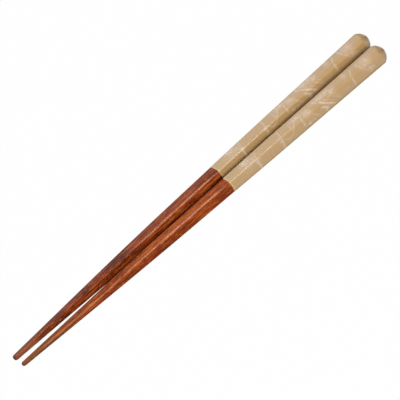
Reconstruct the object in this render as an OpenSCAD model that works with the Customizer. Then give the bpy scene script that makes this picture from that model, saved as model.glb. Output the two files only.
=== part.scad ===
// A pair of tapered wooden chopsticks, lying side by side on a table.
// Each stick is one piece: four flats with rounded edges, a straight body taper, a quicker
// taper to a blunt tip, and a domed butt. It rests on the flat underside of its body.
// The sticks are finished by hand, and the left one is a little stouter below its butt.
// +X runs from the tips to the butts, +Z is up, and the table is at Z = 0.

/* [Stick] */
// Length of a stick, from the blunt tip to the crown of the butt
stick_length = 225; // [180:1:260]
// Width across the flats at the tip of the right stick
tip_width = 2.05; // [1.6:0.05:3]
// Width across the flats where the two tapers of the right stick would cross
knee_width = 5.45; // [4:0.05:6.5]
// Width across the flats where the dome of the butt begins
butt_width = 8.4; // [7:0.05:10]
// How much wider the left stick is at its tip
left_tip_extra = 0.4; // [0:0.05:0.6]
// How much wider the left stick is where its tapers would cross
left_knee_extra = 0.7; // [0:0.05:0.8]
// Distance from the tip to where the two tapers would cross
knee_at = 78; // [55:1:105]
// Length over which one taper eases into the other
knee_blend = 48; // [10:1:80]

/* [Edges and ends] */
// Radius of the four edges at the tip
tip_edge = 0.6; // [0.2:0.05:0.75]
// Radius of the four edges along the body
body_edge = 1; // [0.4:0.05:1.6]
// Radius of the four edges where the dome of the butt begins
butt_edge = 1.95; // [1:0.05:3.2]
// Length of body over which the edges soften towards the butt
soften_length = 80; // [30:1:90]
// Length of the domed butt
dome_length = 3.7; // [2:0.1:9]
// Depth, across the stick, of the rounding at the end of the tip
tip_round = 0.8; // [0.1:0.05:1.2]
// Length of the rounding at the end of the tip
tip_round_length = 1.5; // [0.2:0.1:4]

/* [Laying] */
// Clear gap between the two sticks at their tips
tip_gap = 4.65; // [1:0.05:20]
// Clear gap between the two sticks at their butts
butt_gap = 6.45; // [1:0.05:20]
// How far the right stick lies ahead of the left one
stagger = 0.6; // [-10:0.1:10]

/* [Smoothness] */
// Steps round each edge
edge_steps = 6; // [3:1:10]
// Steps along each curved stretch
curve_steps = 8; // [4:1:12]
// Steps round the end of the tip
tip_steps = 4; // [2:1:8]

/* [Hidden] */

left_wood = [0.47, 0.22, 0.12];
right_wood = [0.55, 0.27, 0.14];

// Lengthwise marks, measured from the tip
dome_at = stick_length - dome_length;
soften_at = dome_at - soften_length;
blend_from = knee_at - knee_blend / 2;
blend_to = knee_at + knee_blend / 2;

// Widths of the stick on one side (1 left, -1 right) of the pair
function tip_of(side) = tip_width + (side > 0 ? left_tip_extra : 0);
function knee_of(side) = knee_width + (side > 0 ? left_knee_extra : 0);

// Growth in width per millimetre of length
function body_taper(side) = (butt_width - knee_of(side)) / (dome_at - knee_at);
function tip_taper(side) = (knee_of(side) - tip_of(side)) / knee_at;

// A stick leans by half its body taper, so that the body's lower flat is level
function lean(side) = atan(body_taper(side) / 2);
function rest_height(side) = (knee_of(side) - body_taper(side) * knee_at) / 2 * cos(lean(side));

// The pair spreads evenly about the X axis
tip_spacing = tip_gap + (tip_of(1) + tip_of(-1)) / 2;
butt_spacing = butt_gap + butt_width;
spread = asin((butt_spacing - tip_spacing) / 2 / dome_at);
run = stick_length * cos(lean(-1)) * cos(spread);

// Greatest share of the tip's half width that its rounding may take
most_tip_round = 0.9;

// Points round one section
ring_size = 4 * (edge_steps + 1);

// Smooth step from 0 to 1
function ease(t) = t * t * (3 - 2 * t);

// Even marks from a to b, without b
function marks(a, b, n) = [for (i = [0 : n - 1]) a + (b - a) * i / n];

// 0 before the knee and the distance past it after, joined by a parabola
function past_knee(d) =
    d <= -knee_blend / 2 ? 0
    : d >= knee_blend / 2 ? d
    : pow(d + knee_blend / 2, 2) / (2 * knee_blend);

// Width across the flats at a distance from the tip
function width_at(side, x) =
    knee_of(side)
    + body_taper(side) * (x - knee_at)
    - (tip_taper(side) - body_taper(side)) * past_knee(knee_at - x);

// Edge radius at a distance from the tip: grows to the knee, then again towards the butt
function edge_at(x) =
    tip_edge
    + (body_edge - tip_edge) * min(1, x / knee_at)
    + (butt_edge - body_edge) * ease(max(0, min(1, (x - soften_at) / soften_length)));

// A section as [distance from the tip, half width, edge radius]
function body_section(side, x) = [x, width_at(side, x) / 2, edge_at(x)];

// The rounding at the tip leaves a small flat end
function tip_inset(side) = min(tip_round, tip_of(side) / 2 * most_tip_round);

// Sections on a quarter ellipse from the flat end of the tip to its full width
function tip_section(side, angle) =
    let (
        x = tip_round_length * (1 - cos(angle)),
        full = width_at(side, x) / 2,
        half = full - tip_inset(side) * (1 - sin(angle))
    )
    [x, half, edge_at(x) * half / full];

// Sections of the dome shrink on a quarter ellipse and grow round towards the crown
function dome_section(angle) =
    let (half = butt_width / 2 * cos(angle), square = butt_edge / (butt_width / 2))
    [dome_at + dome_length * sin(angle), half, half * (square + (1 - square) * sin(angle))];

// One section's points, edge by edge
function ring(s) = [
    for (corner = [0 : 3])
        for (step = [0 : edge_steps])
            let (
                angle = 90 * (corner + step / edge_steps),
                y = (corner == 0 || corner == 3 ? 1 : -1) * (s[1] - s[2]),
                z = (corner < 2 ? 1 : -1) * (s[1] - s[2])
            )
            [s[0], y + s[2] * cos(angle), z + s[2] * sin(angle)]
];

// Sections of the shaft, from the end of the tip to the start of the dome
function shaft_sections(side) = concat(
    [for (angle = marks(0, 90, tip_steps)) tip_section(side, angle)],
    [body_section(side, tip_round_length)],
    [for (x = marks(blend_from, blend_to, curve_steps)) body_section(side, x)],
    [for (x = marks(blend_to, dome_at, 2 * curve_steps)) body_section(side, x)],
    [body_section(side, dome_at)]
);

// Sections of the domed butt, up to just below its crown
dome_sections = [for (angle = marks(0, 90, curve_steps)) dome_section(angle)];

// A closed skin over a row of sections, its last end drawn to a point at reach
module skin(rows, reach) {
    last = len(rows) - 1;
    peak = len(rows) * ring_size;
    polyhedron(
        points = concat([for (s = rows) each ring(s)], [[reach, 0, 0]]),
        faces = concat(
            [[for (i = [0 : ring_size - 1]) i]],
            [
                for (k = [0 : last - 1])
                    for (i = [0 : ring_size - 1])
                        let (j = (i + 1) % ring_size, a = k * ring_size, b = a + ring_size)
                        [a + i, b + i, b + j, a + j]
            ],
            [
                for (i = [0 : ring_size - 1])
                    let (a = last * ring_size)
                    [a + i, peak, a + (i + 1) % ring_size]
            ]
        )
    );
}

// A stick along +X, its tip's centre at the origin
module stick_form(side) {
    skin(shaft_sections(side), dome_at);
    skin(dome_sections, stick_length);
}

// Lays a stick on the table, on one side (1 left, -1 right) of the pair
module lay(side) {
    translate([-(run + side * stagger) / 2, side * tip_spacing / 2, rest_height(side)])
        rotate([0, -lean(side), side * spread])
            stick_form(side);
}

module left_chopstick() {
    color(left_wood) lay(1);
}

module right_chopstick() {
    color(right_wood) lay(-1);
}

left_chopstick();
right_chopstick();
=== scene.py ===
import math

import bpy
import numpy as np
from mathutils import Matrix, Vector


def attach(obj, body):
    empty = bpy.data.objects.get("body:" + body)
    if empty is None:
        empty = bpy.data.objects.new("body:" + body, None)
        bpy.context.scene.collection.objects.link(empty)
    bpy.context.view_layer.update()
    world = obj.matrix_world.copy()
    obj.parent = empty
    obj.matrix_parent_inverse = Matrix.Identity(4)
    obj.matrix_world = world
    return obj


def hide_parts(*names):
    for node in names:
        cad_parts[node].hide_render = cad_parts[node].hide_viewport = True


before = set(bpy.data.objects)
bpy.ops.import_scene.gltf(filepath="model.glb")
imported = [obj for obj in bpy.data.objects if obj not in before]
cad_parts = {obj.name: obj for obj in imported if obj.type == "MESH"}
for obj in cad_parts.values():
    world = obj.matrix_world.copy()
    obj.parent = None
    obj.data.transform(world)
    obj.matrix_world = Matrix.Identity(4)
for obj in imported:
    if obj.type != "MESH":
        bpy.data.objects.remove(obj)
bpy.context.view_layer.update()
mm = 0.001

# the form of one stick, lengths in millimetres from the tip
stickForm = {
    "length": 225.0,
    "buttWidth": 8.4,
    "kneeAt": 78.0,
    "kneeBlend": 48.0,
    "tipEdge": 0.6,
    "bodyEdge": 1.0,
    "buttEdge": 1.95,
    "softenLength": 80.0,
    "domeLength": 3.7,
    "tipRound": 0.8,  # depth across the stick
    "tipRoundLength": 1.5,
    "paintFilm": 0.03,  # how far the paint stands proud of the wood
    "paintLip": 0.5,  # length of the rounded end of the paint
    "edgeRub": (0.1, 0.3, 1.0, 0.1, 0.1),  # from the lower back edge by the front and the top, and back to it
    "patternSlide": 1.3,  # slides the pattern of the hidden sides along, per millimetre round the stick
    "rowStep": 0.6,
    "lipRows": 13,  # close rows where the paint ends
    "lipReach": 0.6,  # how far they reach to both sides, as a share of the lip's length
    "endRings": 4,
    "tipSteps": 12,
    "domeSteps": 28,
    "edgeSteps": 10,
    "flatSteps": 8,
}

# each stick's own widths, its side of the pair, and where its paint begins
layOut = {
    "left_chopstick": {"side": 1, "tipWidth": 2.45, "kneeWidth": 6.15, "paintAt": 129.9},
    "right_chopstick": {"side": -1, "tipWidth": 2.05, "kneeWidth": 5.45, "paintAt": 128.8},
}
laying = {"tipSpacing": 6.9, "buttSpacing": 14.85, "stagger": 0.6}
domeAt = stickForm["length"] - stickForm["domeLength"]
mapUnit = 100.0  # millimetres to one unit of the unrolled map


# growth in width per millimetre of the body, from the knee to the dome
def bodyTaper(kneeWidth):
    return (stickForm["buttWidth"] - kneeWidth) / (domeAt - stickForm["kneeAt"])


# straight tapers on both sides of the knee, joined by a parabola; returns the full width in mm
def widthAt(x, tipWidth, kneeWidth):
    form = stickForm
    tipTaper = (kneeWidth - tipWidth) / form["kneeAt"]
    before = form["kneeAt"] - x
    half = form["kneeBlend"] / 2
    bent = np.clip(before + half, 0, None) ** 2 / (2 * form["kneeBlend"])
    bent = np.where(before >= half, before, bent)
    return kneeWidth + bodyTaper(kneeWidth) * (x - form["kneeAt"]) - (tipTaper - bodyTaper(kneeWidth)) * bent


# 3 t^2 - 2 t^3 between zero and one
def smoothStep(t):
    t = np.clip(t, 0, 1)
    return t * t * (3 - 2 * t)


# edge radius: grows evenly to the knee, then again by a smooth step towards the butt
def edgeAt(x):
    form = stickForm
    softenAt = domeAt - form["softenLength"]
    toKnee = (form["bodyEdge"] - form["tipEdge"]) * np.clip(x / form["kneeAt"], 0, 1)
    toButt = (form["buttEdge"] - form["bodyEdge"]) * smoothStep((x - softenAt) / form["softenLength"])
    return form["tipEdge"] + toKnee + toButt


# the rounding of the tip: the half width comes in on a quarter ellipse, and the edge radius with it
def tipRows(tipWidth, kneeWidth):
    form = stickForm
    turn = np.radians(np.linspace(0, 90, form["tipSteps"] + 1))[:-1]
    x = form["tipRoundLength"] * (1 - np.cos(turn))
    full = widthAt(x, tipWidth, kneeWidth) / 2
    half = full - form["tipRound"] * (1 - np.sin(turn)) - form["paintFilm"]
    return np.stack([x, half, edgeAt(x) * half / full])


# the shaft: wood below the paint's surface by the film, which comes up by a smooth step at the lip
def shaftRows(tipWidth, kneeWidth, paintAt):
    form = stickForm
    even = np.arange(form["tipRoundLength"], domeAt, form["rowStep"])
    lip = paintAt + np.linspace(-form["lipReach"], form["lipReach"], form["lipRows"]) * form["paintLip"]
    x = np.sort(np.concatenate([even[np.abs(even - paintAt) > form["paintLip"]], lip]))
    film = form["paintFilm"] * (smoothStep((x - paintAt) / form["paintLip"] + 0.5) - 1)
    return np.stack([x, widthAt(x, tipWidth, kneeWidth) / 2 + film, edgeAt(x)])


# the dome: sections shrink on a quarter ellipse and grow round towards the crown
def domeRows():
    form = stickForm
    rise = np.radians(np.linspace(0, 90, form["domeSteps"] + 1))[:-1]
    half = form["buttWidth"] / 2 * np.cos(rise)
    square = form["buttEdge"] / (form["buttWidth"] / 2)
    edge = half * (square + (1 - square) * np.sin(rise))
    return np.stack([domeAt + form["domeLength"] * np.sin(rise), half, edge])


# rows of one stick as distances, half widths and edge radii; its flat end is the first section drawn in
def stickRows(tipWidth, kneeWidth, paintAt):
    tip = tipRows(tipWidth, kneeWidth)
    rings = stickForm["endRings"]
    flatEnd = tip[:, :1] * np.arange(1, rings + 1) / (rings + 1)
    return np.concatenate([flatEnd, tip, shaftRows(tipWidth, kneeWidth, paintAt), domeRows()], 1)


# directions round a rounded square, from its lower back edge by the front and the top:
# place = (half - edge) * corner + edge * outward; ridge peaks in the middle of each edge by its rub
def ringDirections():
    steps, flats = stickForm["edgeSteps"], stickForm["flatSteps"]
    corners = np.array([[1, -1], [-1, -1], [-1, 1], [1, 1], [1, -1]], float)
    share = 0.5 - 0.5 * np.cos(np.pi * np.arange(1, flats) / flats)  # closer together by the edges
    parts = {0: slice(steps // 2, None), 4: slice(None, steps // 2)}  # the ring starts within an edge
    corner, angle, ridge = [], [], []
    for k, rub in enumerate(stickForm["edgeRub"]):
        bend = np.linspace(0, -90, steps + 1)[parts.get(k, slice(None))]
        angle.append(bend - 90 * k)
        ridge.append(rub * np.sin(2 * np.radians(bend)) ** 2)
        corner.append(np.tile(corners[k], (len(bend), 1)))
        if k < 4:  # over the flat to the next edge
            angle.append(np.full(flats - 1, -90.0 * (k + 1)))
            ridge.append(np.zeros(flats - 1))
            corner.append(corners[k] + share[:, None] * (corners[k + 1] - corners[k]))
    angle = np.radians(np.concatenate(angle))
    return np.concatenate(corner), np.stack([np.cos(angle), np.sin(angle)], -1), np.concatenate(ridge)


# lays a stick on the lower flat of its body and turns it to its side of the pair
def layMatrix(side, kneeWidth):
    form = stickForm
    lean = math.atan(bodyTaper(kneeWidth) / 2)
    rest = (kneeWidth - bodyTaper(kneeWidth) * form["kneeAt"]) / 2 * math.cos(lean)
    spread = math.asin((laying["buttSpacing"] - laying["tipSpacing"]) / 2 / domeAt)
    run = form["length"] * math.cos(lean) * math.cos(spread)
    start = (-(run + side * laying["stagger"]) / 2, side * laying["tipSpacing"] / 2, rest)
    turned = Matrix.Rotation(side * spread, 4, "Z") @ Matrix.Rotation(-lean, 4, "Y")
    return np.array(Matrix.Translation(start) @ turned)


# quads between neighbouring rows of points, then a fan to a pole at each end
def skinFaces(rows, columns):
    ring = np.arange(columns)
    after = (ring + 1) % columns
    first = np.arange(rows - 1)[:, None] * columns
    quads = np.stack([first + ring, first + columns + ring, first + columns + after, first + after], -1)
    last = (rows - 1) * columns
    tipFan = np.stack([np.full(columns, rows * columns), ring, after], -1)
    crownFan = np.stack([last + ring, np.full(columns, rows * columns + 1), last + after], -1)
    return quads.reshape(-1, 4).tolist() + tipFan.tolist() + crownFan.tolist()


# distance along the stick and round it from the upper front edge; the hidden sides mirror the two seen
# ones over their edges, and slide along with the distance past them
def unrolledMap(x, section):
    step = np.linalg.norm(np.diff(section, axis=1, append=section[:, :1]), axis=-1)
    around = np.concatenate([np.zeros((len(x), 1)), np.cumsum(step, 1)], 1)
    oneSide = around[:, -1:] / 4
    around -= 2 * oneSide
    past = np.clip(np.abs(around) - oneSide, 0, None)
    folded = around - 2 * np.sign(around) * past
    return np.stack([x[:, None] + stickForm["patternSlide"] * past, folded], -1) / mapUnit


# the map's value at every corner of every face, in the order of the faces
def cornerMap(grid):
    middle = (grid[:, :-1] + grid[:, 1:]) / 2
    quads = np.stack([grid[:-1, :-1], grid[1:, :-1], grid[1:, 1:], grid[:-1, 1:]], 2)
    tipFan = np.stack([middle[0], grid[0, :-1], grid[0, 1:]], 1)
    crownFan = np.stack([grid[-1, :-1], middle[-1], grid[-1, 1:]], 1)
    return np.concatenate([part.reshape(-1, 2) for part in (quads, tipFan, crownFan)])


# carries the rows' sections along the stick and puts the skin into a mesh
def makeStick(name, side, tipWidth, kneeWidth, paintAt):
    x, half, edge = stickRows(tipWidth, kneeWidth, paintAt)
    corner, outward, ridge = ringDirections()
    section = (half - edge)[:, None, None] * corner + edge[:, None, None] * outward
    rows, columns = section.shape[:2]
    along = np.broadcast_to(x[:, None, None], (rows, columns, 1))
    poles = [[0, 0, 0], [stickForm["length"], 0, 0]]
    own = np.concatenate([np.concatenate([along, section], -1).reshape(-1, 3), poles])
    place = layMatrix(side, kneeWidth)
    laid = (own @ place[:3, :3].T + place[:3, 3]) * mm

    mesh = bpy.data.meshes.new(name + "_skin")
    mesh.from_pydata(laid.tolist(), [], skinFaces(rows, columns))
    unrolled = cornerMap(unrolledMap(x, section))
    mesh.uv_layers.new(name="unrolled").data.foreach_set("uv", unrolled.astype(np.float32).ravel())
    edgeMark = mesh.attributes.new("edge", "FLOAT", "POINT")
    edgeMark.data.foreach_set("value", np.append(np.tile(ridge, rows), [0, 0]).astype(np.float32))
    ownPoint = mesh.attributes.new("stickPoint", "FLOAT_VECTOR", "POINT")
    ownPoint.data.foreach_set("vector", own.astype(np.float32).ravel())
    mesh.polygons.foreach_set("use_smooth", np.ones(len(mesh.polygons), bool))
    mesh.update()
    mesh.validate()
    piece = bpy.data.objects.new(name + "_lacquered", mesh)
    bpy.context.scene.collection.objects.link(piece)
    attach(piece, "root")
    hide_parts(name)
    print("made", piece.name, "with", len(mesh.polygons), "faces")
    return piece


sticks = {name: makeStick(name, **values) for name, values in layOut.items()}


# a socket takes a link from another socket, or a plain value
def feed(tree, socket, value):
    if isinstance(value, bpy.types.NodeSocket):
        tree.links.new(value, socket)
    else:
        socket.default_value = value


# a node with its settings made before its inputs are fed
def addNode(tree, kind, feeds=None, **settings):
    node = tree.nodes.new("ShaderNode" + kind)
    for key, value in settings.items():
        setattr(node, key, value)
    for key, value in (feeds or {}).items():
        feed(tree, node.inputs[key], value)
    return node


# an operation on numbers, such as ADD
def maths(tree, operation, *values):
    return addNode(tree, "Math", dict(enumerate(values)), operation=operation).outputs[0]


# an operation on vectors, which gives a vector or, for a dot product or a length, a number
def vectors(tree, operation, *values):
    node = addNode(tree, "VectorMath", dict(enumerate(values)), operation=operation)
    return node.outputs["Value" if operation in ("DOT_PRODUCT", "DISTANCE", "LENGTH") else "Vector"]


# vector * factor
def scaled(tree, vector, factor):
    node = addNode(tree, "VectorMath", {"Vector": vector, "Scale": factor}, operation="SCALE")
    return node.outputs["Vector"]


# from the first number to the second, by a factor between zero and one
def mixed(tree, factor, first, second, kind="FLOAT"):
    feeds = {"Factor": factor, "A": first, "B": second}
    return addNode(tree, "Mix", feeds, data_type=kind).outputs["Result"]


# the same for colours
def blend(tree, factor, first, second):
    return mixed(tree, factor, first, second, "RGBA")


# a colour with full alpha, as the sockets take it
def opaque(colour):
    return (*colour, 1.0)


# zero at low, one at high, by a smooth step
def ramp(tree, value, low, high):
    feeds = {"Value": value, "From Min": low, "From Max": high}
    return addNode(tree, "MapRange", feeds, interpolation_type="SMOOTHSTEP").outputs["Result"]


# e to the minus square
def bell(tree, value):
    return maths(tree, "EXPONENT", maths(tree, "MULTIPLY", maths(tree, "MULTIPLY", value, value), -1.0))


# soft noise about one half whose cells measure grain millimetres along each axis
def grainNoise(tree, place, grain, detail=2.0, roughness=0.5):
    stretched = vectors(tree, "DIVIDE", place, grain)
    feeds = {"Vector": stretched, "Scale": 1.0, "Detail": detail, "Roughness": roughness}
    return addNode(tree, "TexNoise", feeds).outputs["Fac"]


# masks taken into a total one after another, by an operation such as MAXIMUM or ADD
def gathered(tree, operation, masks, total=0.0):
    for mask in masks:
        total = maths(tree, operation, total, mask)
    return total


# a node group with its named inputs and outputs; returns the group and both ends
def newGroup(name, inputs, outputs):
    tree = bpy.data.node_groups.new(name, "ShaderNodeTree")
    for way, sockets in (("INPUT", inputs), ("OUTPUT", outputs)):
        for label, kind in sockets.items():
            tree.interface.new_socket(label, in_out=way, socket_type="NodeSocket" + kind)
    return tree, tree.nodes.new("NodeGroupInput").outputs, tree.nodes.new("NodeGroupOutput").inputs


# a group put to use in another tree; returns its outputs
def useGroup(tree, group, feeds):
    node = tree.nodes.new("ShaderNodeGroup")
    node.node_tree = group
    for key, value in feeds.items():
        feed(tree, node.inputs[key], value)
    return node.outputs


strokeFade = {"over": 0.2, "least": 0.3}  # share of a stroke that fades at each end, and what is left there


# one brush stroke: a gaussian across the line from one point to another, faded at both ends; the line is
# bowed sideways by bow * 4 * share * (1 - share)
def makeStroke(fading):
    inputs = {"Place": "Vector", "From": "Vector", "To": "Vector", "Bow": "Float", "Width": "Float",
              "Strength": "Float"}
    tree, take, give = newGroup("softStroke", inputs, {"Mask": "Float"})
    reach = vectors(tree, "SUBTRACT", take["To"], take["From"])
    offset = vectors(tree, "SUBTRACT", take["Place"], take["From"])
    share = maths(tree, "DIVIDE", vectors(tree, "DOT_PRODUCT", offset, reach),
                  vectors(tree, "DOT_PRODUCT", reach, reach))
    share = addNode(tree, "Clamp", {"Value": share}).outputs[0]
    sideways = vectors(tree, "NORMALIZE", vectors(tree, "CROSS_PRODUCT", reach, (0, 0, 1)))
    arch = maths(tree, "MULTIPLY", share, maths(tree, "SUBTRACT", 1.0, share))
    bow = maths(tree, "MULTIPLY", arch, maths(tree, "MULTIPLY", take["Bow"], 4.0))
    nearest = vectors(tree, "ADD", scaled(tree, reach, share), scaled(tree, sideways, bow))
    across = bell(tree, maths(tree, "DIVIDE", vectors(tree, "DISTANCE", offset, nearest), take["Width"]))
    toEnd = maths(tree, "ABSOLUTE", maths(tree, "SUBTRACT", share, 0.5))
    toEnd = maths(tree, "SUBTRACT", 0.5, toEnd)
    full = ramp(tree, toEnd, 0.0, fading["over"])
    fade = maths(tree, "MULTIPLY_ADD", full, 1 - fading["least"], fading["least"])
    faded = maths(tree, "MULTIPLY", across, fade)
    feed(tree, give["Mask"], maths(tree, "MULTIPLY", faded, take["Strength"]))
    return tree


# one cloudy patch: a gaussian in both directions about its centre
def makePatch():
    inputs = {"Place": "Vector", "Centre": "Vector", "Size": "Vector", "Strength": "Float"}
    tree, take, give = newGroup("softPatch", inputs, {"Mask": "Float"})
    offset = vectors(tree, "SUBTRACT", take["Place"], take["Centre"])
    away = vectors(tree, "LENGTH", vectors(tree, "DIVIDE", offset, take["Size"]))
    feed(tree, give["Mask"], maths(tree, "MULTIPLY", bell(tree, away), take["Strength"]))
    return tree


shared = {"stroke": makeStroke(strokeFade), "patch": makePatch()}


# the mask of one stroke, points and lengths in millimetres
def strokeMask(tree, place, start, end, width, strength, bow=0.0):
    feeds = {"Place": place, "From": (*start, 0), "To": (*end, 0), "Bow": bow, "Width": width,
             "Strength": strength}
    return useGroup(tree, shared["stroke"], feeds)["Mask"]


# the mask of one patch, its centre and size in millimetres
def patchMask(tree, place, centre, size, strength):
    feeds = {"Place": place, "Centre": (*centre, 0), "Size": (*size, 1), "Strength": strength}
    return useGroup(tree, shared["patch"], feeds)["Mask"]


# the pale veins of the paint, in millimetres along the stick and round it from the upper front edge
paintVeins = {
    "waverScale": 0.35,  # of the slow noise
    "waver": (1.8, 1.8, 0.0),  # how far one unit of it moves a vein
    # fine noise that breaks up the strokes and the patches, and thin wavy lines in the patches
    "dry": {"cells": (1.1, 0.5, 1.0), "roughness": 0.6, "low": 0.25, "high": 0.6,
            "gain": 0.5, "least": 0.6},
    "hazy": {"cells": (0.8, 0.9, 1.0), "roughness": 0.65, "low": 0.35, "high": 0.65,
             "gain": 0.9, "least": 0.4},
    "wavy": {"cells": (2.0, 1.3, 1.0), "band": 0.06, "gain": 1.3},
    # from, to, width, strength and, where it is bowed, by how much
    "strokes": [
        ((137.4, 4.5), (137.6, -3.2), 0.50, 0.16),
        ((143.2, 5.2), (145.0, 0.9), 0.60, 0.40),
        ((146.3, 6.4), (145.3, 1.0), 0.50, 0.45, 0.2),
        ((145.1, 0.8), (145.3, -4.6), 0.55, 0.70),
        ((160.8, 7.6), (160.6, 1.6), 0.42, 0.60),
        ((160.6, 1.8), (159.4, -5.0), 0.42, 0.70, 0.15),
        ((161.0, 0.5), (167.0, -0.4), 0.40, 0.50, 2.3),
        ((166.9, -0.5), (170.6, 4.8), 0.48, 0.50),
        ((166.8, 6.6), (166.8, 0.0), 0.40, 0.32),
        ((174.0, 5.2), (173.2, -3.0), 0.42, 0.55, 0.2),
        ((175.7, 6.6), (176.3, 1.4), 0.42, 0.55),
        ((176.4, 5.2), (178.6, 1.2), 0.70, 0.50),
        ((178.4, 1.4), (182.1, -3.6), 0.42, 0.36),
        ((181.7, 6.4), (184.2, 3.2), 0.48, 0.65),
        ((184.0, 3.4), (191.0, -3.8), 0.50, 0.95, 0.1),
        ((184.4, -0.1), (187.4, -3.6), 0.60, 0.85),
        ((189.4, 6.4), (189.8, 0.8), 0.36, 0.32),
        ((190.8, 5.8), (193.2, 2.2), 0.75, 0.48),
        ((191.2, 0.7), (194.7, -3.2), 0.40, 0.42, -0.3),
        ((205.8, 6.4), (204.2, 1.2), 0.48, 0.50),
        ((204.3, 1.4), (203.6, -4.0), 0.45, 0.52),
        ((209.2, 6.2), (210.5, 1.2), 0.75, 0.52),
        ((210.4, 1.4), (212.8, -2.8), 0.50, 0.42),
        ((212.6, 5.2), (212.7, 2.0), 0.45, 0.28),
        ((213.0, -0.1), (216.4, -3.4), 0.50, 0.42, -0.4),
        ((138.6, 6.2), (141.8, 2.2), 0.28, 0.30, 0.2),
        ((141.6, 6.0), (143.8, 2.6), 0.28, 0.30),
        ((170.2, 6.2), (172.4, 3.2), 0.28, 0.35, 0.2),
        ((174.8, 5.8), (175.4, 0.6), 0.26, 0.35),
        ((177.8, 5.4), (179.4, 1.8), 0.26, 0.35),
        ((183.4, 6.2), (188.4, 0.6), 0.26, 0.40, 0.1),
        ((186.2, 3.4), (191.6, -2.2), 0.26, 0.40, -0.1),
        ((187.6, 4.6), (192.0, -0.2), 0.26, 0.32, -0.2),
        ((192.2, 1.8), (195.2, -1.6), 0.26, 0.32, -0.2),
        ((185.6, -0.4), (188.6, -3.4), 0.26, 0.40),
        ((200.6, 6.2), (201.8, 3.0), 0.30, 0.25),
        ((210.8, 6.0), (212.2, 1.6), 0.28, 0.35, 0.1),
        ((213.4, 5.4), (215.6, 0.8), 0.30, 0.30),
        ((212.0, -1.0), (214.6, -3.2), 0.28, 0.35, -0.2),
    ],
    # centre, size, strength
    "patches": [
        ((140.2, 5.2), (2.9, 2.0), 0.60),
        ((141.5, 3.2), (4.2, 3.0), 0.30),
        ((145.1, 0.3), (1.2, 1.1), 0.60),
        ((159.7, 0.0), (0.9, 0.9), 0.50),
        ((171.6, 5.0), (3.4, 1.6), 0.52),
        ((175.6, -2.8), (1.0, 0.9), 0.55),
        ((177.0, 3.0), (2.1, 2.5), 0.52),
        ((178.6, -2.8), (0.9, 0.8), 0.22),
        ((187.4, 5.2), (5.5, 1.9), 0.50),
        ((186.2, -3.6), (0.9, 1.2), 0.45),
        ((192.4, 3.4), (1.8, 2.0), 0.45),
        ((199.8, -1.8), (1.2, 0.8), 0.14),
        ((201.4, 5.0), (1.3, 2.0), 0.36),
        ((213.6, 3.0), (3.1, 3.5), 0.40),
        ((214.0, -1.6), (1.8, 1.5), 0.35),
    ],
}


# a factor from fine noise: least + gain * its smooth step from low to high
def brokenUp(tree, place, cells, roughness, low, high, gain, least):
    noise = grainNoise(tree, place, cells, 3.0, roughness)
    return maths(tree, "MULTIPLY_ADD", ramp(tree, noise, low, high), gain, least)


# strokes and patches over each other, wavered by slow noise and broken up by fine noise; in the patches
# thin wavy lines follow the noise where it is near one half
def makeVeins(veins):
    tree, take, give = newGroup("paleVeins", {"Place": "Vector"}, {"Veil": "Float"})
    feeds = {"Vector": take["Place"], "Scale": veins["waverScale"], "Detail": 5.0, "Roughness": 0.6}
    slow = addNode(tree, "TexNoise", feeds).outputs["Color"]
    waver = vectors(tree, "MULTIPLY", vectors(tree, "SUBTRACT", slow, (0.5, 0.5, 0.5)), veins["waver"])
    place = vectors(tree, "ADD", take["Place"], waver)
    lines = gathered(tree, "MAXIMUM", [strokeMask(tree, place, *stroke) for stroke in veins["strokes"]])
    lines = maths(tree, "MULTIPLY", lines, brokenUp(tree, take["Place"], **veins["dry"]))
    clouds = gathered(tree, "MAXIMUM", [patchMask(tree, place, *patch) for patch in veins["patches"]])
    wavy = veins["wavy"]
    level = maths(tree, "SUBTRACT", grainNoise(tree, place, wavy["cells"]), 0.5)
    curls = ramp(tree, maths(tree, "ABSOLUTE", level), wavy["band"], 0.0)
    thick = maths(tree, "MULTIPLY_ADD", curls, wavy["gain"], brokenUp(tree, place, **veins["hazy"]))
    clouds = maths(tree, "MULTIPLY", clouds, thick)
    feed(tree, give["Veil"], maths(tree, "MAXIMUM", lines, clouds))
    return tree


# noise cells in millimetres along and across the grain; flecks and pores show where their noise is high
woodGrain = {
    # cells, detail, weight: slow, streaked and fibrous
    "layers": [
        ((24.0, 3.0, 3.0), 1.0, 0.4),
        ((13.0, 0.8, 0.8), 2.0, 1.4),
        ((5.0, 0.45, 0.45), 2.0, 1.1),
    ],
    "flecks": {"cells": (2.2, 0.5, 0.5), "shift": (31.0, 7.0, 3.0), "low": 0.60, "high": 0.74},
    "pores": {"cells": (1.8, 0.5, 0.5), "shift": (67.0, 13.0, 29.0), "low": 0.60, "high": 0.70},
    "spotStrength": 0.6,
    "levels": (0.2, 0.5, 0.8),  # tones of the dark, the middle and the light colour
}


# strength * smooth step of shifted noise from low to high
def spotMask(tree, point, cells, shift, low, high):
    spots = ramp(tree, grainNoise(tree, vectors(tree, "ADD", point, shift), cells, 1.0), low, high)
    return maths(tree, "MULTIPLY", spots, woodGrain["spotStrength"])


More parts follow.
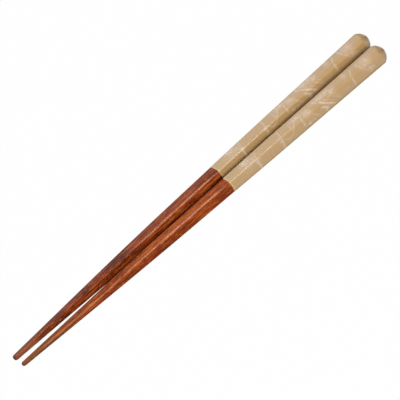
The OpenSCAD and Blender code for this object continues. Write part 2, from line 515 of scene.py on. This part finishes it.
# dyed wood under clear lacquer: tone = middle level + weighted noise about zero + marks, some of them painted
# shade and glints, and the colour runs from dark by middle to light at their levels, with small golden flecks
# and dark pores
def makeWood(grain):
    inputs = {"Point": "Vector", "MarksAndPaintedLight": "Float", "Dark": "Color", "Middle": "Color", "Light": "Color",
              "Fleck": "Color"}
    tree, take, give = newGroup("woodGrain", inputs, {"Colour": "Color", "Tone": "Float"})
    dark, middle, light = grain["levels"]
    half = sum(weight for cells, detail, weight in grain["layers"]) / 2
    tone = maths(tree, "ADD", take["MarksAndPaintedLight"], middle - half)
    for cells, detail, weight in grain["layers"]:
        tone = maths(tree, "MULTIPLY_ADD", grainNoise(tree, take["Point"], cells, detail), weight, tone)
    colour = blend(tree, ramp(tree, tone, dark, middle), take["Dark"], take["Middle"])
    colour = blend(tree, ramp(tree, tone, middle, light), colour, take["Light"])
    colour = blend(tree, spotMask(tree, take["Point"], **grain["flecks"]), colour, take["Fleck"])
    colour = blend(tree, spotMask(tree, take["Point"], **grain["pores"]), colour, take["Dark"])
    feed(tree, give["Colour"], colour)
    feed(tree, give["Tone"], tone)
    return tree


# millimetres along the stick and round it
paintEnd = {
    "bow": 0.0145,
    "middle": -1.5,
    "uneven": 0.4,
    "unevenCells": (6.0, 1.2, 1.2),
    "soft": 0.1,
    "lip": 0.35,
}


# zero on the wood and one on the paint, whose end draws towards the tip by bow * (round - middle)^2 and
# is a little uneven, and a bell over the paint's rounded lip, where a highlight is painted
def makePaintEnd(end):
    inputs = {"Along": "Float", "Around": "Float", "Start": "Float"}
    tree, take, give = newGroup("paintEnd", inputs, {"Mask": "Float", "LipHighlight": "Float"})
    place = addNode(tree, "CombineXYZ", {"X": take["Along"], "Y": take["Around"]}).outputs[0]
    uneven = maths(tree, "SUBTRACT", grainNoise(tree, place, end["unevenCells"], 1.0), 0.5)
    along = maths(tree, "MULTIPLY_ADD", uneven, end["uneven"], take["Along"])
    square = maths(tree, "POWER", maths(tree, "SUBTRACT", take["Around"], end["middle"]), 2.0)
    drawn = maths(tree, "MULTIPLY_ADD", square, end["bow"], along)
    past = maths(tree, "SUBTRACT", drawn, take["Start"])
    feed(tree, give["Mask"], ramp(tree, past, -end["soft"], end["soft"]))
    onLip = maths(tree, "DIVIDE", maths(tree, "SUBTRACT", past, end["lip"]), end["lip"])
    feed(tree, give["LipHighlight"], bell(tree, onLip))
    return tree


shared["veins"] = makeVeins(paintVeins)
shared["wood"] = makeWood(woodGrain)
shared["end"] = makePaintEnd(paintEnd)

# each stick's own look, colours linear: shift moves it to its own piece of wood, turn moves its veins along
# and round it, shine is its specular level, and from dullTo to the tip the wood turns dull;
# marks are darker or lighter places of the wood, a few of them painted shade in the crease between the
# sticks or painted glints on the upper front edge: centre, size, strength; the dark lines along the upper
# back and lower front edges are painted shade where those edges turn from the light, and the lines by the
# upper front edge are rubbed pale and partly a painted highlight: from, to, width, strength
finishes = {
    "left_chopstick": {
        "shift": (12.0, 4.0, 9.0),
        "turn": (0.0, 0.0, 0.0),
        "shine": 0.17,
        "dullTo": 30.0,
        "dark": (0.075, 0.010, 0.004),
        "middle": (0.240, 0.036, 0.004),
        "light": (0.350, 0.090, 0.018),
        "fleck": (0.430, 0.150, 0.040),
        "tipWood": (0.200, 0.085, 0.050),
        "tipEnd": (0.050, 0.030, 0.022),
        "marks": [
            # painted shade in the crease between the sticks
            ((104.0, -5.2), (40.0, 1.2), -0.35),
            ((46.0, 1.5), (40.0, 4.0), -0.14),
            ((22.0, -2.9), (26.0, 0.5), -0.30),
            ((67.0, 2.4), (6.0, 2.2), -0.24),
            ((70.0, 1.2), (3.8, 0.7), -0.16),
            ((69.0, -1.8), (5.5, 1.2), -0.20),
            ((45.8, 0.4), (2.2, 1.8), -0.22),
            ((28.5, 1.0), (2.4, 0.8), -0.18),
            ((39.5, 0.6), (3.0, 1.0), 0.14),
            ((17.0, 0.3), (3.0, 0.8), 0.12),
            ((51.0, 1.6), (1.2, 1.0), 0.16),
            # the next three are painted glints on the upper front edge
            ((22.6, -0.8), (0.5, 0.3), 0.25),
            ((33.8, -0.8), (0.6, 0.35), 0.28),
            ((58.5, -0.7), (2.0, 0.4), 0.22),
            ((78.0, 2.0), (3.0, 1.6), 0.10),
        ],
        # painted shade along the outer edges, where they turn from the light
        "edgeShades": [
            ((1.0, 2.0), (54.0, 4.5), 0.70, 0.95),
            ((54.0, 4.5), (90.0, 5.5), 0.70, 0.95),
            ((90.0, 5.5), (129.0, 6.3), 0.50, 0.45),
            ((3.0, -2.4), (54.0, -4.8), 0.50, 0.65),
            ((54.0, -4.8), (80.0, -5.7), 0.50, 0.65),
        ],
        # rubbed pale, and partly a painted highlight on the upper front edge
        "rubsAndHighlight": [
            ((21.0, -0.7), (36.0, -0.7), 0.35, 0.10),
            ((40.0, -0.7), (72.0, -0.6), 0.35, 0.10),
            ((73.0, -0.1), (130.0, 0.1), 0.45, 0.50),
        ],
    },
    "right_chopstick": {
        "shift": (140.0, 31.0, 57.0),
        "turn": (-0.35, 1.7, 0.0),
        "shine": 0.09,
        "dullTo": 50.0,
        "dark": (0.120, 0.016, 0.003),
        "middle": (0.262, 0.042, 0.004),
        "light": (0.430, 0.105, 0.016),
        "fleck": (0.520, 0.190, 0.045),
        "tipWood": (0.165, 0.085, 0.026),
        "tipEnd": (0.110, 0.066, 0.042),
        "marks": [
            ((104.0, 2.6), (36.0, 2.0), 0.12),
            # painted shade in the crease between the sticks
            ((104.0, 5.4), (34.0, 1.0), -0.35),
            ((100.0, -2.6), (60.0, 2.2), -0.08),
            ((30.0, 1.5), (24.0, 1.5), -0.06),
            ((15.5, 1.2), (3.0, 0.6), -0.20),
            ((12.0, -1.3), (1.2, 0.5), -0.25),
            ((39.0, 1.8), (4.0, 0.9), -0.22),
            ((45.0, 1.0), (1.0, 0.6), -0.20),
            ((58.0, 1.2), (18.0, 2.2), -0.12),
            ((67.5, -1.2), (2.0, 0.7), -0.18),
            ((66.0, -0.8), (0.5, 0.4), 0.30),
            ((75.2, -1.5), (1.0, 0.8), -0.25),
            ((88.0, -0.8), (1.2, 0.4), -0.20),
            ((117.0, 1.1), (0.7, 0.4), -0.22),
            ((126.0, -1.0), (1.4, 0.5), -0.18),
        ],
        # painted shade along the outer edges, where they turn from the light
        "edgeShades": [
            ((1.0, 1.7), (54.0, 4.0), 0.50, 0.65),
            ((3.0, -1.7), (50.0, -3.8), 0.55, 0.75),
        ],
        # rubbed pale, and partly a painted highlight on the upper front edge
        "rubsAndHighlight": [
            ((4.0, -0.4), (66.0, -0.45), 0.45, 0.50),
            ((64.0, -0.1), (86.0, 0.3), 0.45, 0.50),
            ((84.0, 0.3), (129.0, 0.35), 0.50, 0.56),
        ],
    },
}

# what both sticks share: linear colours, lengths in millimetres
surface = {
    "paint": (0.437, 0.275, 0.119),
    "veil": (0.630, 0.485, 0.375),
    # the paler lip is a painted highlight where the paint's end catches the light
    "lip": (0.620, 0.450, 0.280),
    "lipHighlightShare": 0.5,
    # pale rubbed wood, which on the upper front edge is also a painted highlight
    "edgeWoodAndHighlight": (0.620, 0.240, 0.110),
    "edgeWear": 0.04,  # a little wear on all edges
    "wearCells": (3.5, 0.8, 0.8),  # patchy noise, its range, and what is left of the wear between the patches
    "wearRange": (0.3, 0.6),
    "wearLeast": 0.4,
    # painted shade along the outer edges
    "edgeShade": (0.050, 0.018, 0.012),
    "dullFrom": 2.0,
    "dullShare": 0.45,
    "tipEndAt": (1.2, 0.4),  # the end of the tip darkens from the first to the second
    "woodGloss": 0.2,
    "paintGloss": 0.3,
    "glossSpread": 0.08,
    "coatGloss": 0.26,
    "coatIndex": 1.65,
    "edgeShine": 1.0,
    "paintShine": 1.0,
    "handled": (155.0, 185.0),  # where the paint's upper front edge turns dull from handling
    "relief": 0.5,
    "reliefDepth": 0.02,
}


# how much the wood is rubbed pale or painted with a highlight: the most of its rub lines, which are partly a
# painted highlight by the upper front edge, and of its edges' wear, broken up by patchy noise
def wornAndHighlightMask(tree, look, place, edge, patchy):
    wear = maths(tree, "MULTIPLY", edge, surface["edgeWear"])
    wornAndHighlight = gathered(tree, "MAXIMUM", [strokeMask(tree, place, *rub) for rub in look["rubsAndHighlight"]], wear)
    least = surface["wearLeast"]
    return maths(tree, "MULTIPLY", wornAndHighlight, maths(tree, "MULTIPLY_ADD", patchy, 1 - least, least))


# grain with the stick's own marks; returns the group's outputs
def grainOf(tree, look, place, own):
    marks = gathered(tree, "ADD", [patchMask(tree, place, *mark) for mark in look["marks"]])
    feeds = {"Point": own, "MarksAndPaintedLight": marks}
    for socket, key in (("Dark", "dark"), ("Middle", "middle"), ("Light", "light"), ("Fleck", "fleck")):
        feeds[socket] = opaque(look[key])
    return useGroup(tree, shared["wood"], feeds)


# over the grain come painted shade along the outer edges, pale rubs that are partly a painted highlight, a
# dull tone towards the tip and the tip's darker end
def woodColour(tree, look, grain, place, along, wornAndHighlight):
    edgeShaded = gathered(tree, "MAXIMUM", [strokeMask(tree, place, *edgeShade) for edgeShade in look["edgeShades"]])
    dull = ramp(tree, along, look["dullTo"], surface["dullFrom"])
    dull = maths(tree, "MULTIPLY", dull, surface["dullShare"])
    colour = blend(tree, edgeShaded, grain["Colour"], opaque(surface["edgeShade"]))
    colour = blend(tree, wornAndHighlight, colour, opaque(surface["edgeWoodAndHighlight"]))
    colour = blend(tree, dull, colour, opaque(look["tipWood"]))
    return blend(tree, ramp(tree, along, *surface["tipEndAt"]), colour, opaque(look["tipEnd"]))


# tan paint under its pale veins, with a paler lip that is a painted highlight
def paintColour(tree, veil, lip):
    colour = blend(tree, veil, opaque(surface["paint"]), opaque(surface["veil"]))
    return blend(tree, maths(tree, "MULTIPLY", lip, surface["lipHighlightShare"]), colour, opaque(surface["lip"]))


# a stick's finish: wood from the tip to the paint's end, veined paint from there to the butt
def makeFinish(name, look, paintAt):
    made = bpy.data.materials.new(name + "_finish")
    made.use_nodes = True
    tree = made.node_tree
    shader = tree.nodes["Principled BSDF"].inputs
    point = addNode(tree, "Attribute", attribute_name="stickPoint").outputs["Vector"]
    edge = addNode(tree, "Attribute", attribute_name="edge").outputs["Fac"]
    place = scaled(tree, addNode(tree, "UVMap", uv_map="unrolled").outputs["UV"], mapUnit)
    along = addNode(tree, "SeparateXYZ", {0: point}).outputs["X"]
    around = addNode(tree, "SeparateXYZ", {0: place}).outputs["Y"]
    own = vectors(tree, "ADD", point, look["shift"])
    patchy = ramp(tree, grainNoise(tree, own, surface["wearCells"]), *surface["wearRange"])
    wornAndHighlight = wornAndHighlightMask(tree, look, place, edge, patchy)
    grain = grainOf(tree, look, place, own)
    end = useGroup(tree, shared["end"], {"Along": along, "Around": around, "Start": paintAt})
    veil = useGroup(tree, shared["veins"], {"Place": vectors(tree, "ADD", place, look["turn"])})["Veil"]

    wood = woodColour(tree, look, grain, place, along, wornAndHighlight)
    feed(tree, shader["Base Color"], blend(tree, end["Mask"], wood, paintColour(tree, veil, end["LipHighlight"])))
    woodGloss = maths(tree, "MULTIPLY_ADD", patchy, surface["glossSpread"], surface["woodGloss"])
    paintGloss = maths(tree, "MULTIPLY_ADD", veil, surface["glossSpread"], surface["paintGloss"])
    feed(tree, shader["Roughness"], mixed(tree, end["Mask"], woodGloss, paintGloss))
    height = mixed(tree, end["Mask"], grain["Tone"], veil)
    bump = addNode(tree, "Bump", {"Strength": surface["relief"], "Distance": surface["reliefDepth"] * mm,
                                  "Height": height})
    feed(tree, shader["Normal"], bump.outputs[0])
    handled = maths(tree, "MULTIPLY", edge, ramp(tree, along, *surface["handled"]))
    paintShine = maths(tree, "MULTIPLY_ADD", handled, -surface["paintShine"], surface["paintShine"])
    woodShine = maths(tree, "MULTIPLY", wornAndHighlight, surface["edgeShine"])
    feed(tree, shader["Coat Weight"], mixed(tree, end["Mask"], woodShine, paintShine))
    feed(tree, shader["Coat Roughness"], surface["coatGloss"])
    feed(tree, shader["Coat IOR"], surface["coatIndex"])
    feed(tree, shader["Specular IOR Level"], look["shine"])
    return made


for name, piece in sticks.items():
    piece.data.materials.append(makeFinish(name, finishes[name], layOut[name]["paintAt"]))
print("finished with", len(shared), "shared effects")

# camera by the photograph: angles in degrees, distance and target in metres, lens and sensor in millimetres,
# nudge in pixels of a picture that is so many pixels wide
viewFrom = {
    "elevation": 38.62,
    "azimuth": -7.803,
    "roll": -36.415,
    "distance": 8.0,
    "target": (0.0022957, 0.003272, 0.0),
    "lens": 1539.98,
    "sensor": 36.0,
    "nudge": (-0.65, 0.67),
    "pixels": 400,
    "clip": (0.05, 50.0),  # metres
}


# direction from the middle of the table towards a place in the room, angles in degrees
def towards(elevation, azimuth):
    rise, turn = math.radians(elevation), math.radians(azimuth)
    return Vector((math.sin(turn) * math.cos(rise), -math.cos(turn) * math.cos(rise), math.sin(rise)))


# looks at the target from its distance, turned about the line of sight by the roll
def makeCamera(view):
    azimuth, roll = math.radians(view["azimuth"]), math.radians(view["roll"])
    back = towards(view["elevation"], view["azimuth"])
    level = Vector((math.cos(azimuth), math.sin(azimuth), 0))
    right = math.cos(roll) * level + math.sin(roll) * back.cross(level)
    data = bpy.data.cameras.new("photoView")
    data.lens = view["lens"]
    data.sensor_width = view["sensor"]
    data.sensor_fit = "HORIZONTAL"
    data.clip_start, data.clip_end = view["clip"]
    data.shift_x = view["nudge"][0] / view["pixels"]
    data.shift_y = view["nudge"][1] / view["pixels"]
    camera = bpy.data.objects.new("photoView", data)
    place = Matrix((right, back.cross(right), back)).transposed().to_4x4()
    place.translation = Vector(view["target"]) + back * view["distance"]
    camera.matrix_world = place
    bpy.context.scene.collection.objects.link(camera)
    bpy.context.scene.camera = camera
    print("camera at", view["distance"], "m")


makeCamera(viewFrom)
bpy.context.scene.view_settings.view_transform = "Standard"

# studio: pale floor, white surroundings and soft lamps; angles in degrees, sizes and distances in metres
studio = {
    "floorSize": 6.0,
    "floorColour": (0.15, 0.15, 0.15),
    "floorWhite": 0.992,  # share of plain white that the eye and reflections see, the rest shows the shadow
    "closeBy": 0.012,  # how far the floor looks for what closes it in
    "openness": (0.5, 0.7),  # between these its reflection goes from dim to full
    "ambient": 0.04,
    "surround": 0.45,  # share of white that reflections see above the floor
    "lamps": {
        "frontPanel": {"elevation": 30.5, "azimuth": -8, "distance": 0.6, "size": (0.7, 0.17), "power": 4.55,
                       "mirrored": False},
        "overPanel": {"elevation": 77, "azimuth": 13, "distance": 0.9, "size": (0.1, 0.9), "power": 2.3},
        "backPanel": {"elevation": 46, "azimuth": 180, "distance": 1.0, "size": (0.8, 0.3), "power": 3.7,
                      "mirrored": False},
        "sheenPanel": {"elevation": 38.6, "azimuth": 172, "distance": 1.2, "size": (0.8, 0.45),
                       "power": 0.95},
    },
}


# one where the ray comes from the camera, a reflection or a refraction; shade dims the last two
def seenDirectly(tree, shade):
    path = addNode(tree, "LightPath").outputs
    mirrored = maths(tree, "MAXIMUM", path["Is Glossy Ray"], path["Is Transmission Ray"])
    return maths(tree, "MAXIMUM", path["Is Camera Ray"], maths(tree, "MULTIPLY", mirrored, shade))


# diffuse floor that the eye and reflections see white, but for the share that shows the shadow;
# reflections of the floor close to the sticks are dimmed by how closed in it is
def makeFloor(room):
    half = room["floorSize"] / 2
    mesh = bpy.data.meshes.new("floor")
    corners = np.array([[-half, -half, 0], [half, -half, 0], [half, half, 0], [-half, half, 0]])
    mesh.from_pydata(corners.tolist(), [], [[0, 1, 2, 3]])
    floor = bpy.data.objects.new("floor", mesh)
    bpy.context.scene.collection.objects.link(floor)
    made = bpy.data.materials.new("paleFloor")
    made.use_nodes = True
    tree = made.node_tree
    tree.nodes.remove(tree.nodes["Principled BSDF"])
    closed = addNode(tree, "AmbientOcclusion", {"Distance": room["closeBy"]}).outputs["AO"]
    seen = seenDirectly(tree, ramp(tree, closed, *room["openness"]))
    share = maths(tree, "MULTIPLY", seen, room["floorWhite"])
    matte = addNode(tree, "BsdfDiffuse", {"Color": opaque(room["floorColour"])})
    white = addNode(tree, "Emission", {"Strength": 1.0})
    both = addNode(tree, "MixShader", {0: share, 1: matte.outputs[0], 2: white.outputs[0]})
    feed(tree, tree.nodes["Material Output"].inputs["Surface"], both.outputs[0])
    mesh.materials.append(made)


# faint even light, which the eye sees as white
def makeWorld(room):
    world = bpy.data.worlds.new("whiteStudio")
    bpy.context.scene.world = world
    world.use_nodes = True
    tree = world.node_tree
    soft = tree.nodes["Background"]
    feed(tree, soft.inputs["Color"], opaque((1, 1, 1)))
    feed(tree, soft.inputs["Strength"], room["ambient"])
    white = addNode(tree, "Background", {"Color": opaque((1, 1, 1)), "Strength": 1.0})
    share = seenDirectly(tree, room["surround"])
    both = addNode(tree, "MixShader", {0: share, 1: soft.outputs[0], 2: white.outputs[0]})
    feed(tree, tree.nodes["World Output"].inputs["Surface"], both.outputs[0])


# a panel that faces the middle of the table; only a mirrored one shows in reflections
def makeLamp(name, elevation, azimuth, distance, size, power, mirrored=True):
    away = towards(elevation, azimuth)
    data = bpy.data.lights.new(name, "AREA")
    data.shape = "RECTANGLE"
    data.size, data.size_y = size
    data.energy = power
    lamp = bpy.data.objects.new(name, data)
    lamp.location = away * distance
    lamp.rotation_euler = away.to_track_quat("Z", "Y").to_euler()
    lamp.visible_camera = False
    lamp.visible_glossy = mirrored
    bpy.context.scene.collection.objects.link(lamp)


makeFloor(studio)
makeWorld(studio)
for name, values in studio["lamps"].items():
    makeLamp(name, **values)
print("lit with", len(studio["lamps"]), "lamps")
